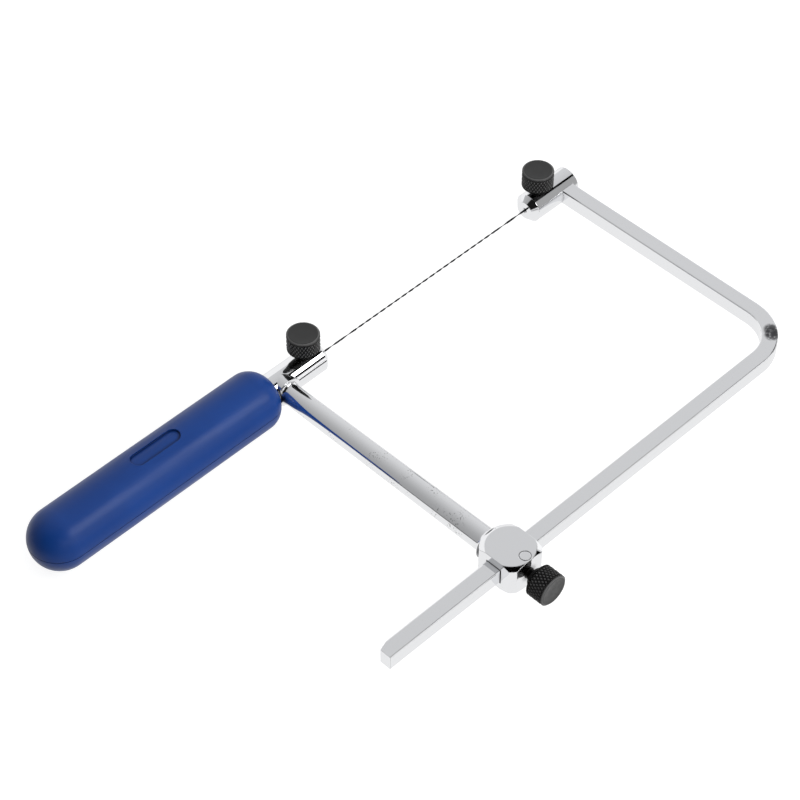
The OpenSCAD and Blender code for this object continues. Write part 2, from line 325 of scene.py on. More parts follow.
@dataclass(frozen=True)
class MouldedPlastic:
    """Satin moulded plastic with a fine spark-eroded grain, and painted shade in its nooks."""

    name: str
    colour: Colour
    pale: Colour
    # Painted shade in the nooks: its dark colour, how far round a point is looked at, and how openness
    # maps to shade.
    painted_shade_colour: Colour = (0.0016, 0.008, 0.05)
    painted_shade_reach: float = 1.6 * MM
    nook_span: Span = (0.45, 0.95)
    nook_shade: Span = (0.7, 0.0)
    cloud_scale: float = 45.0
    rub_scale: float = 260.0
    rub_stretch: Point = (0.15, 1.0, 1.0)
    roughness: Span = (0.33, 0.42)
    edge: float = 0.25 * MM
    swell_scale: float = 120.0
    swell_share: float = 0.12
    swell_depth: float = 0.05 * MM
    grain_scale: float = 2600.0
    grain_share: float = 0.22
    grain_depth: float = 0.03 * MM
    specular: float = 0.24

    def make(self) -> bpy.types.Material:
        """Makes the material.

        Returns:
            The finished material.
        """
        board = NodeBoard(self.name)
        cloud = board.ranged(board.noise(self.cloud_scale, 3), *CLOUD_SPAN, *RISING)
        moulded = board.mixed(cloud, self.colour, self.pale)
        # Painted shade: darker where the surface is enclosed, in the recess, the seam and by the casting.
        handle_shade_share = board.ranged(board.nooks(self.painted_shade_reach), *self.nook_span, *self.nook_shade)
        board.join(board.mixed(handle_shade_share, moulded, self.painted_shade_colour), board.shader.inputs["Base Color"])
        rub = board.noise(self.rub_scale, 2, board.stretched(self.rub_stretch))
        rough = board.ranged(rub, *NOISE_SPAN, *self.roughness)
        board.join(rough, board.shader.inputs["Roughness"])
        soft = board.rounded(self.edge)
        swell = board.bumped(board.noise(self.swell_scale, 1), self.swell_share, self.swell_depth, soft)
        grain = board.bumped(board.noise(self.grain_scale, 2), self.grain_share, self.grain_depth, swell)
        board.join(grain, board.shader.inputs["Normal"])
        board.set(Specular_IOR_Level=self.specular)
        return board.material


@dataclass(frozen=True)
class BrightPlating:
    """Chrome plating over a casting or a drawn bar: slightly wavy and pitted; it can also have painted
    shade in its nooks and along sharp edges, and painted dark reflections at a few spots.
    """

    name: str
    colour: Colour
    wave_scale: float
    wave_depth: float
    wave_share: float = 0.5
    edge: float = 0.18 * MM
    # Painted shade along sharp edges, where the rounded normal parts from the true one.
    edge_span: Span = (0.8, 0.98)
    edge_shade: Span = (0.0, 0.0)
    edge_shade_colour: Colour = (0.08, 0.08, 0.085)
    speck_scale: float = 2000.0
    speck_span: Span = (0.6, 0.68)
    cluster_scale: float = 110.0
    cluster_span: Span = (0.9, 1.0)
    speck_reach: Span = (-1.0, 1.0)
    speck_fade: float = 2.0 * MM
    speck_colour: Colour = (0.2, 0.195, 0.19)
    speck_share: float = 0.3
    speck_depth: float = 0.03 * MM
    # Painted shade in the nooks: how far round a point is looked at, how openness maps to shade, and the
    # dark colour.
    painted_shade_reach: float = 0.0
    nook_span: Span = (0.3, 0.75)
    nook_shade: Span = (0.75, 0.0)
    painted_shade_colour: Colour = (0.16, 0.16, 0.165)
    # Painted dark reflections: the spots, how far they reach, their ragged edge and their colour.
    bend_reflection_spots: tuple[Point, ...] = ()
    reflection_span: Span = (1.705 * MM, 3.1 * MM)
    reflection_scale: float = 700.0
    reflection_noise: Span = (0.3, 0.55)
    reflection_share: Span = (0.35, 0.9)
    reflection_colour: Colour = (0.07, 0.07, 0.075)
    haze_scale: float = 160.0
    haze_span: Span = (0.3, 0.75)
    roughness: Span = (0.035, 0.085)

    def make(self) -> bpy.types.Material:
        """Makes the material.

        Returns:
            The finished material.
        """
        board = NodeBoard(self.name)
        soft = board.rounded(self.edge)
        # Painted shade in the nooks, when the finish has a reach for it.
        nook_shaded_colour = self.paint_nook_shade(board) if self.painted_shade_reach else self.colour
        # Painted shade: darker along sharp edges.
        edges = board.ranged(board.likeness(soft), *self.edge_span, *self.edge_shade)
        shaded = board.mixed(edges, nook_shaded_colour, self.edge_shade_colour)
        # Painted dark reflection round each spot.
        for spot in self.bend_reflection_spots:
            shaded = board.mixed(self.painted_reflection(board, spot), shaded, self.reflection_colour)
        specks = self.specks(board)
        board.join(board.mixed(specks, shaded, self.speck_colour), board.shader.inputs["Base Color"])
        haze = board.ranged(board.noise(self.haze_scale, 3), *self.haze_span, *self.roughness)
        board.join(haze, board.shader.inputs["Roughness"])
        wavy = board.bumped(board.noise(self.wave_scale, 1), self.wave_share, self.wave_depth, soft)
        sunk = board.ranged(specks, *RISING, *FALLING)
        pitted = board.bumped(sunk, self.speck_share, self.speck_depth, wavy)
        board.join(pitted, board.shader.inputs["Normal"])
        board.set(Metallic=1.0)
        return board.material

    def painted_reflection(self, board: NodeBoard, spot: Point) -> bpy.types.NodeSocket:
        """Paints a dark reflection into the plating round a spot, ragged at its edge.

        Args:
            board: The node board of the material.
            spot: The middle of the painted reflection.

        Returns:
            The share of painted reflection.
        """
        near = board.ranged(board.far_from(spot), *self.reflection_span, *FALLING)
        ragged = board.ranged(board.noise(self.reflection_scale, 2), *self.reflection_noise, *self.reflection_share)
        return board.product(near, ragged)

    def specks(self, board: NodeBoard) -> bpy.types.NodeSocket:
        """Scatters clusters of fine specks, kept to a reach along Y.

        Args:
            board: The node board of the material.

        Returns:
            The share of speck at each point.
        """
        fine = board.ranged(board.noise(self.speck_scale, 3), *self.speck_span, *RISING)
        few = board.ranged(board.noise(self.cluster_scale, 2), *self.cluster_span, *RISING)
        place = board.add("ShaderNodeSeparateXYZ")
        board.join(board.coords, place.inputs["Vector"])
        start, end = self.speck_reach
        after = board.ranged(place.outputs["Y"], start, start + self.speck_fade, *RISING)
        before = board.ranged(place.outputs["Y"], end - self.speck_fade, end, *FALLING)
        return board.product(fine, few, after, before)

    def paint_nook_shade(self, board: NodeBoard) -> bpy.types.NodeSocket:
        """Paints shade into the plating in its nooks, where the surface is enclosed.

        Args:
            board: The node board of the material.

        Returns:
            The darkened colour.
        """
        plating_shade_share = board.ranged(board.nooks(self.painted_shade_reach), *self.nook_span, *self.nook_shade)
        return board.mixed(plating_shade_share, self.colour, self.painted_shade_colour)


@dataclass(frozen=True)
class BlackOxide:
    """Blackened steel, painted paler as a highlight on the knurl's tips and the head's rim and top, as a
    point attribute of the screw says.
    """

    name: str
    colour: Colour
    dusty: Colour
    # Painted highlight: the pale colour, and the span of the screw's point attribute that turns to it.
    highlight_colour: Colour
    cloud_scale: float = 420.0
    highlight_span: Span = (0.1, 1.0)
    rough_scale: float = 900.0
    roughness: Span = (0.3, 0.42)
    grain_scale: float = 5200.0
    grain_share: float = 0.2
    grain_depth: float = 0.02 * MM
    specular: float = 0.22

    def make(self) -> bpy.types.Material:
        """Makes the material.

        Returns:
            The finished material.
        """
        board = NodeBoard(self.name)
        cloud = board.ranged(board.noise(self.cloud_scale, 3), *CLOUD_SPAN, *RISING)
        base = board.mixed(cloud, self.colour, self.dusty)
        # Painted highlight: the knurl's tips, the rim and the top are made paler by the screw's point
        # attribute.
        highlight_share = board.add("ShaderNodeAttribute", attribute_name="highlight_share").outputs["Fac"]
        tips = board.ranged(highlight_share, *self.highlight_span, *RISING)
        board.join(board.mixed(tips, base, self.highlight_colour), board.shader.inputs["Base Color"])
        rough = board.ranged(board.noise(self.rough_scale, 2), *NOISE_SPAN, *self.roughness)
        board.join(rough, board.shader.inputs["Roughness"])
        grain = board.bumped(board.noise(self.grain_scale, 2), self.grain_share, self.grain_depth)
        board.join(grain, board.shader.inputs["Normal"])
        board.set(Specular_IOR_Level=self.specular)
        return board.material


@dataclass(frozen=True)
class WorkedSteel:
    """Bare metal with the fine lines that drawing, turning or twisting leaves."""

    name: str
    colour: Colour
    shade: Colour
    lines: Point
    roughness: Span
    line_share: float = 0.3
    line_depth: float = 0.01 * MM

    def make(self) -> bpy.types.Material:
        """Makes the material.

        Returns:
            The finished material.
        """
        board = NodeBoard(self.name)
        lines = board.noise(1, 3, board.stretched(self.lines))
        tone = board.ranged(lines, *NOISE_SPAN, *RISING)
        board.join(board.mixed(tone, self.colour, self.shade), board.shader.inputs["Base Color"])
        rough = board.ranged(lines, *NOISE_SPAN, *self.roughness)
        board.join(rough, board.shader.inputs["Roughness"])
        grooved = board.bumped(lines, self.line_share, self.line_depth)
        board.join(grooved, board.shader.inputs["Normal"])
        board.set(Metallic=1.0)
        return board.material


@dataclass(frozen=True)
class Finishes:
    """All the finishes of the saw."""

    handle: MouldedPlastic = MouldedPlastic(
        "handle_blue", (0.0055, 0.043, 0.22), (0.0066, 0.049, 0.245)
    )
    casting: BrightPlating = BrightPlating(
        "plated_casting",
        CHROME,
        wave_scale=150.0,
        wave_depth=0.035 * MM,
        edge=0.36 * MM,
        cluster_span=(0.5, 0.6),
        speck_reach=(-38 * MM, 50 * MM),
        # Painted shade in the casting's nooks, by the bar, the arm's roots and the screws.
        painted_shade_reach=3.2 * MM,
    )
    bar: BrightPlating = BrightPlating(
        "plated_bar",
        CHROME,
        wave_scale=90.0,
        wave_depth=0.015 * MM,
        # Painted shade along the bar's sharp edges, such as round the tail's end face.
        edge_shade=(0.85, 0.0),
        # Painted dark reflections along the bend of the bar's top.
        bend_reflection_spots=(
            (118.9 * MM, -45.4 * MM, 14.1 * MM),
            (117.8 * MM, -46.5 * MM, 14.1 * MM),
            (116.7 * MM, -47.6 * MM, 14.1 * MM),
        ),
    )
    screw: BlackOxide = BlackOxide(
        "black_screw", (0.001, 0.001, 0.0011), (0.0022, 0.0022, 0.0023), (0.28, 0.28, 0.28)
    )
    blade: WorkedSteel = WorkedSteel(
        "blade_grey",
        (0.035, 0.035, 0.037),
        (0.014, 0.014, 0.015),
        lines=(400.0, 5000.0, 5000.0),
        roughness=(0.28, 0.42),
    )
    rod: WorkedSteel = WorkedSteel(
        "rod_steel",
        (0.5, 0.5, 0.51),
        (0.38, 0.38, 0.4),
        lines=(6000.0, 300.0, 300.0),
        roughness=(0.24, 0.38),
    )
    brass: WorkedSteel = WorkedSteel(
        "turned_brass",
        (0.72, 0.5, 0.2),
        (0.6, 0.4, 0.15),
        lines=(300.0, 300.0, 6000.0),
        roughness=(0.22, 0.36),
    )


def deselect_all() -> None:
    """Leaves edit mode and deselects every object."""
    if bpy.context.object is not None and bpy.context.object.mode != "OBJECT":
        bpy.ops.object.mode_set(mode="OBJECT")
    bpy.ops.object.select_all(action="DESELECT")


def select_only(*objects: bpy.types.Object) -> None:
    """Selects these objects alone and makes the first one active.

    Args:
        objects: The objects to select.
    """
    deselect_all()
    for item in objects:
        item.select_set(True)
    bpy.context.view_layer.objects.active = objects[0]


def apply_place(item: bpy.types.Object) -> None:
    """Puts an object's place into its mesh."""
    select_only(item)
    bpy.ops.object.transform_apply(location=True, rotation=True, scale=True)


def dress(item: bpy.types.Object, material: bpy.types.Material) -> None:
    """Gives an object one material.

    Args:
        item: The object.
        material: Its material.
    """
    if not item.material_slots:
        item.data.materials.append(material)
    for slot in item.material_slots:
        slot.material = material


def middle(node: str) -> tuple[Vector, Vector]:
    """Finds where a node lies.

    Args:
        node: Name of the node.

    Returns:
        The middle of its box and the box's highest corner.
    """
    low, high = (Vector(corner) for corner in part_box(node))
    return (low + high) / 2, high


@dataclass
class ThumbScrew:
    """A black thumbscrew with a diamond knurl, built on +Z with the clamped face at zero."""

    node: str
    body: str
    way: Way
    lift: float
    tip: float
    head_r: float = 5.9 * MM
    head_h: float = 7.3 * MM
    chamfer: float = 0.6 * MM
    collar_r: float = 3.45 * MM
    collar_h: float = 1.6 * MM
    shank_r: float = 2.0 * MM
    pitch: float = 0.7 * MM
    thread_depth: float = 0.36 * MM
    ridges: int = 30
    rows: int = 3
    knurl_depth: float = 0.3 * MM
    knurl_slope: float = 0.36 * MM
    lip: float = 0.12 * MM
    shy: float = 0.02 * MM
    crown: float = 0.05 * MM
    overlap: float = 0.3 * MM
    facets: int = 32
    smooth_to: float = math.radians(32)
    # Painted highlights: how pale the top, the rim, the knurl's tips, the flank and the skirt are painted.
    top_highlight: float = 0.3
    rim_highlight: float = 0.5
    tip_highlight: float = 0.47
    flank_highlight: float = 0.3
    skirt_highlight: float = 0.2

    def build(self, material: bpy.types.Material) -> bpy.types.Object:
        """Builds the screw in its place and makes it stand for its node.

        Args:
            material: Finish of the screw.

        Returns:
            The finished piece.
        """
        screw = self.knurled_band()
        self.close_head(screw)
        thread = self.thread()
        select_only(screw, thread)
        bpy.ops.object.join()
        bpy.ops.object.shade_smooth_by_angle(angle=self.smooth_to)
        screw.name = f"{self.node}_knurled"
        screw.data.name = screw.name
        screw.matrix_world = Matrix.Translation(self.face()) @ self.way.turn()
        apply_place(screw)
        dress(screw, material)
        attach(screw, self.body)
        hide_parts(self.node)
        return screw

    def face(self) -> Vector:
        """Finds the clamped face.

        Returns:
            The point of the face on the screw's axis.
        """
        centre, high = middle(self.node)
        reach = self.lift + self.head_h
        if self.way is Way.UP:
            return Vector((centre.x, centre.y, high.z - reach))
        low = Vector(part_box(self.node)[0])
        return Vector((centre.x, low.y + reach, centre.z))

    def knurled_band(self) -> bpy.types.Object:
        """Builds the band of raised diamonds round the head.

        Returns:
            The open band, in edit mode.
        """
        groove = self.head_r - self.knurl_depth
        low = self.lift + self.chamfer
        step = (self.head_h - 2 * self.chamfer) / self.rows
        deselect_all()
        bpy.ops.mesh.primitive_circle_add(vertices=self.ridges, radius=groove, location=(0, 0, low))
        band = bpy.context.object
        apply_place(band)
        bpy.ops.object.mode_set(mode="EDIT")
        bpy.ops.mesh.select_all(action="SELECT")
        for _ in range(self.rows):
            bpy.ops.mesh.extrude_region_move(TRANSFORM_OT_translate={"value": (0, 0, step)})
        bpy.ops.mesh.select_all(action="SELECT")
        bpy.ops.mesh.normals_make_consistent(inside=False)
        corners = len(bmesh.from_edit_mesh(band.data).verts)
        bpy.ops.mesh.poke()
        self.pick_grid_edges(band, corners)
        bpy.ops.mesh.dissolve_edges(use_verts=False)
        self.raise_diamonds(band, groove)
        return band

    def pick_grid_edges(self, band: bpy.types.Object, corners: int) -> None:
        """Selects the inner edges between corners, so that diamonds are left between them.

        Args:
            band: The poked band.
            corners: Number of corner points before it was poked.
        """
        grid = bmesh.from_edit_mesh(band.data)
        grid.verts.index_update()
        bpy.ops.mesh.select_mode(type="EDGE")
        bpy.ops.mesh.select_all(action="DESELECT")
        for edge in grid.edges:
            edge.select = not edge.is_boundary and all(v.index < corners for v in edge.verts)
        bmesh.update_edit_mesh(band.data)

    def raise_diamonds(self, band: bpy.types.Object, groove: float) -> None:
        """Raises every diamond of the band and paints a highlight on its top.

        Args:
            band: The band of flat diamonds.
            groove: Radius at the bottom of the knurl.
        """
        grid = bmesh.from_edit_mesh(band.data)
        grid.verts.layers.float.new("highlight_share")
        for vert in grid.verts:
            scale = groove / vert.co.xy.length
            vert.co.x *= scale
            vert.co.y *= scale
        grid.normal_update()
        outward = sum(face.normal.xy.dot(face.calc_center_median().xy) for face in grid.faces)
        bpy.ops.mesh.select_mode(type="FACE")
        if outward < 0:
            bpy.ops.mesh.select_all(action="SELECT")
            bpy.ops.mesh.flip_normals()
        bpy.ops.mesh.select_all(action="DESELECT")
        for face in grid.faces:
            face.select = len(face.verts) < 5
        bmesh.update_edit_mesh(band.data)
        bpy.ops.mesh.inset(thickness=self.knurl_slope, depth=self.knurl_depth, use_individual=True)
        self.mark_highlight(band, self.tip_highlight)

    def mark_highlight(self, band: bpy.types.Object, share: float) -> None:
        """Writes the painted highlight of the selected points.

        Args:
            band: The object, in edit mode.
            share: From 0, as blackened, to 1, painted pale as a highlight.
        """
        grid = bmesh.from_edit_mesh(band.data)
        highlight_share = grid.verts.layers.float["highlight_share"]
        for vert in grid.verts:
            if vert.select:
                vert[highlight_share] = share
        bmesh.update_edit_mesh(band.data)

    def close_head(self, band: bpy.types.Object) -> None:
        """Adds the top, the underside and the collar to the knurled band.

        Args:
            band: The knurled band, in edit mode.
        """
        lip = self.lip
        top = self.lift + self.head_h
        flat_r = self.head_r - self.chamfer
        under = self.lift - self.collar_h
        self.grow_rings(
            band,
            top - self.chamfer,
            [
                (self.head_r - self.shy, top - self.chamfer + lip, self.flank_highlight),
                (flat_r, top - self.crown, self.rim_highlight),
                (flat_r - lip, top, self.top_highlight),
                (flat_r - 4 * lip, top, self.top_highlight),
                (flat_r - 6 * lip, top - lip / 2, self.top_highlight),
                (0.3 * self.head_r, top - lip / 2, self.top_highlight),
            ],
        )
        self.grow_rings(
            band,
            self.lift + self.chamfer,
            [
                (self.head_r - self.shy, self.lift + self.chamfer - lip, self.skirt_highlight),
                (flat_r, self.lift + lip / 2, 0),
                (flat_r - lip, self.lift, 0),
                (self.collar_r + lip, self.lift, 0),
                (self.collar_r, self.lift - lip, 0),
                (self.collar_r, under + 2 * lip, 0),
                (self.collar_r - 2 * lip, under, 0),
                (0.5 * self.collar_r, under, 0),
            ],
        )
        bpy.ops.object.mode_set(mode="OBJECT")

    def grow_rings(self, band: bpy.types.Object, start: float, rings: list[Point]) -> None:
        """Extrudes the open edge at one height through a row of rings and closes the last one.

        Args:
            band: The object, in edit mode.
            start: Height of the open edge.
            rings: Radius, height and painted highlight of each ring.
        """
        bpy.ops.mesh.select_mode(type="EDGE")
        bpy.ops.mesh.select_all(action="DESELECT")
        grid = bmesh.from_edit_mesh(band.data)
        radius = 0.0
        for edge in grid.edges:
            level = all(abs(vert.co.z - start) < LEVEL_GAP for vert in edge.verts)
            edge.select = edge.is_boundary and level
            if edge.select:
                radius = edge.verts[0].co.xy.length
        bmesh.update_edit_mesh(band.data)
        height = start
        for ring_r, ring_z, wear in rings:
            bpy.ops.mesh.extrude_region_move(TRANSFORM_OT_translate={"value": (0, 0, ring_z - height)})
            share = ring_r / radius
            bpy.ops.transform.resize(value=(share, share, 1), center_override=(0, 0, ring_z))
            # Paints each ring's highlight share onto its points.
            self.mark_highlight(band, wear)
            radius, height = ring_r, ring_z
        bpy.ops.mesh.edge_face_add()

    def thread(self) -> bpy.types.Object:
        """Winds the threaded shank from a zigzag and cuts it square at both ends.

        Returns:
            The shank.
        """
        top = self.lift - self.collar_h + self.overlap
        start = -self.tip - 2 * self.pitch
        turns = math.ceil((top - start) / self.pitch) + 1
        root = self.shank_r - self.thread_depth
        half = self.pitch / 2
        deselect_all()
        bpy.ops.mesh.primitive_plane_add(size=1 * MM)
        shank = bpy.context.object
        bpy.ops.object.mode_set(mode="EDIT")
        bpy.ops.mesh.select_mode(type="VERT")
        bpy.ops.mesh.select_all(action="SELECT")
        bpy.ops.mesh.merge(type="CENTER")
        bpy.ops.transform.translate(value=(root, 0, start))
        for _ in range(turns):
            for depth in (self.thread_depth, -self.thread_depth):
                step = {"value": (depth, 0, half)}
                bpy.ops.mesh.extrude_vertices_move(TRANSFORM_OT_translate=step)
        bpy.ops.object.mode_set(mode="OBJECT")
        wind = shank.modifiers.new("wind", "SCREW")
        wind.axis = "Z"
        wind.angle = 2 * math.pi
        wind.screw_offset = self.pitch
        wind.steps = self.facets
        wind.render_steps = self.facets
        bpy.ops.object.modifier_apply(modifier=wind.name)
        bpy.ops.object.mode_set(mode="EDIT")
        bpy.ops.mesh.select_all(action="SELECT")
        bpy.ops.mesh.remove_doubles(threshold=WELD_GAP)
        bpy.ops.mesh.normals_make_consistent(inside=False)
        bpy.ops.mesh.bisect(
            plane_co=(0, 0, -self.tip), plane_no=(0, 0, 1), use_fill=True, clear_inner=True
        )
        bpy.ops.mesh.select_all(action="SELECT")
        bpy.ops.mesh.bisect(plane_co=(0, 0, top), plane_no=(0, 0, 1), use_fill=True, clear_outer=True)
        bpy.ops.mesh.select_all(action="SELECT")
        bpy.ops.mesh.normals_make_consistent(inside=False)
        bpy.ops.object.mode_set(mode="OBJECT")
        return shank


@dataclass
class SpiralBlade:
    """The blade: a thin strip, flat at both ends, twisted and toothed between them."""

    node: str = "spiral_blade"
    body: str = "frame"
    width: float = 0.7 * MM
    thickness: float = 0.2 * MM
    plain: float = 14.0 * MM
    ease: float = 15.5 * MM
    slow_turn: float = 2 * math.pi
    even_turn: float = 20 * math.pi
    tooth_depth: float = 0.1 * MM
    spans: tuple[int, int] = (13, 32)
    smooth_to: float = math.radians(40)

    def build(self, material: bpy.types.Material) -> bpy.types.Object:
        """Builds the blade in its place and makes it stand for its node.

        Args:
            material: Finish of the blade.

        Returns:
            The finished piece.
        """
        centre, high = middle(self.node)
        length = 2 * (high.x - centre.x)
        deselect_all()
        bpy.ops.mesh.primitive_cube_add(size=1)
        blade = bpy.context.object
        blade.scale = (length, self.width, self.thickness)
        apply_place(blade)
        self.cut_teeth(blade, length)
        slow_rate = self.slow_turn / self.ease
        even_from = self.plain + self.ease
        self.twist(blade, self.plain / length, slow_rate * (length - 2 * self.plain))
        self.twist(blade, even_from / length, self.even_turn - slow_rate * (length - 2 * even_from))
        bpy.ops.object.shade_smooth_by_angle(angle=self.smooth_to)
        blade.name = "spiral_blade_toothed"
        blade.data.name = blade.name
        blade.location = centre
        apply_place(blade)
        dress(blade, material)
        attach(blade, self.body)
        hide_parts(self.node)
        return blade

    def twist(self, blade: bpy.types.Object, margin: float, angle: float) -> None:
        """Twists the middle of the blade.

        Args:
            blade: The strip, lying along X about the origin.
            margin: Share of the length that stays straight at each end.
            angle: The whole turn between the margins.
        """
        turn = blade.modifiers.new("turn", "SIMPLE_DEFORM")
        turn.deform_method = "TWIST"
        turn.deform_axis = "X"
        turn.limits = (margin, 1 - margin)
        turn.angle = angle
        bpy.ops.object.modifier_apply(modifier=turn.name)

    def cut_teeth(self, blade: bpy.types.Object, length: float) -> None:
        """Divides the strip along its length and draws in every other point of its edges.

        Args:
            blade: The plain strip, lying along X about the origin.
            length: Length of the strip.
        """
        bpy.ops.object.mode_set(mode="EDIT")
        bpy.ops.mesh.select_mode(type="EDGE")
        for parts in self.spans:
            bpy.ops.mesh.select_all(action="DESELECT")
            strip = bmesh.from_edit_mesh(blade.data)
            for edge in strip.edges:
                edge.select = abs(edge.verts[0].co.x - edge.verts[1].co.x) > self.thickness
            bmesh.update_edit_mesh(blade.data)
            bpy.ops.mesh.subdivide(number_cuts=parts - 1)
        strip = bmesh.from_edit_mesh(blade.data)
        steps = math.prod(self.spans)
        for vert in strip.verts:
            place = round((vert.co.x / length + 0.5) * steps)
            if place % 2 and abs(vert.co.x) < length / 2 - self.plain - self.ease / 2:
                vert.co.y -= math.copysign(self.tooth_depth, vert.co.y)
        bmesh.update_edit_mesh(blade.data)
        bpy.ops.object.mode_set(mode="OBJECT")


@dataclass
class Card:
    """A studio card with four corners, which lights, shades or only shows in the metal."""

    name: str
    corners: tuple[Point, Point, Point, Point]
    strength: float
    show: Show = Show.MIRROR

    def build(self) -> bpy.types.Object:
        """Builds the card in the studio.

        Returns:
            The card.
        """
        deselect_all()
        bpy.ops.mesh.primitive_plane_add(size=1)
        card = bpy.context.object
        card.name = self.name
        order = (self.corners[0], self.corners[1], self.corners[3], self.corners[2])
        for vert, corner in zip(card.data.vertices, order):
            vert.co = corner
        material = bpy.data.materials.new(self.name)
        material.use_nodes = True
        tree = material.node_tree
        tree.nodes.clear()
        glow = tree.nodes.new("ShaderNodeEmission")
        glow.inputs["Color"].default_value = (1, 1, 1, 1)
        glow.inputs["Strength"].default_value = self.strength
        output = tree.nodes.new("ShaderNodeOutputMaterial")
        tree.links.new(glow.outputs["Emission"], output.inputs["Surface"])
        card.data.materials.append(material)
        card.visible_camera = False
        card.visible_shadow = self.show is Show.SHADE
        card.visible_transmission = False
        card.visible_diffuse = self.show is not Show.MIRROR
        card.visible_glossy = self.show is not Show.SHADE
        return card


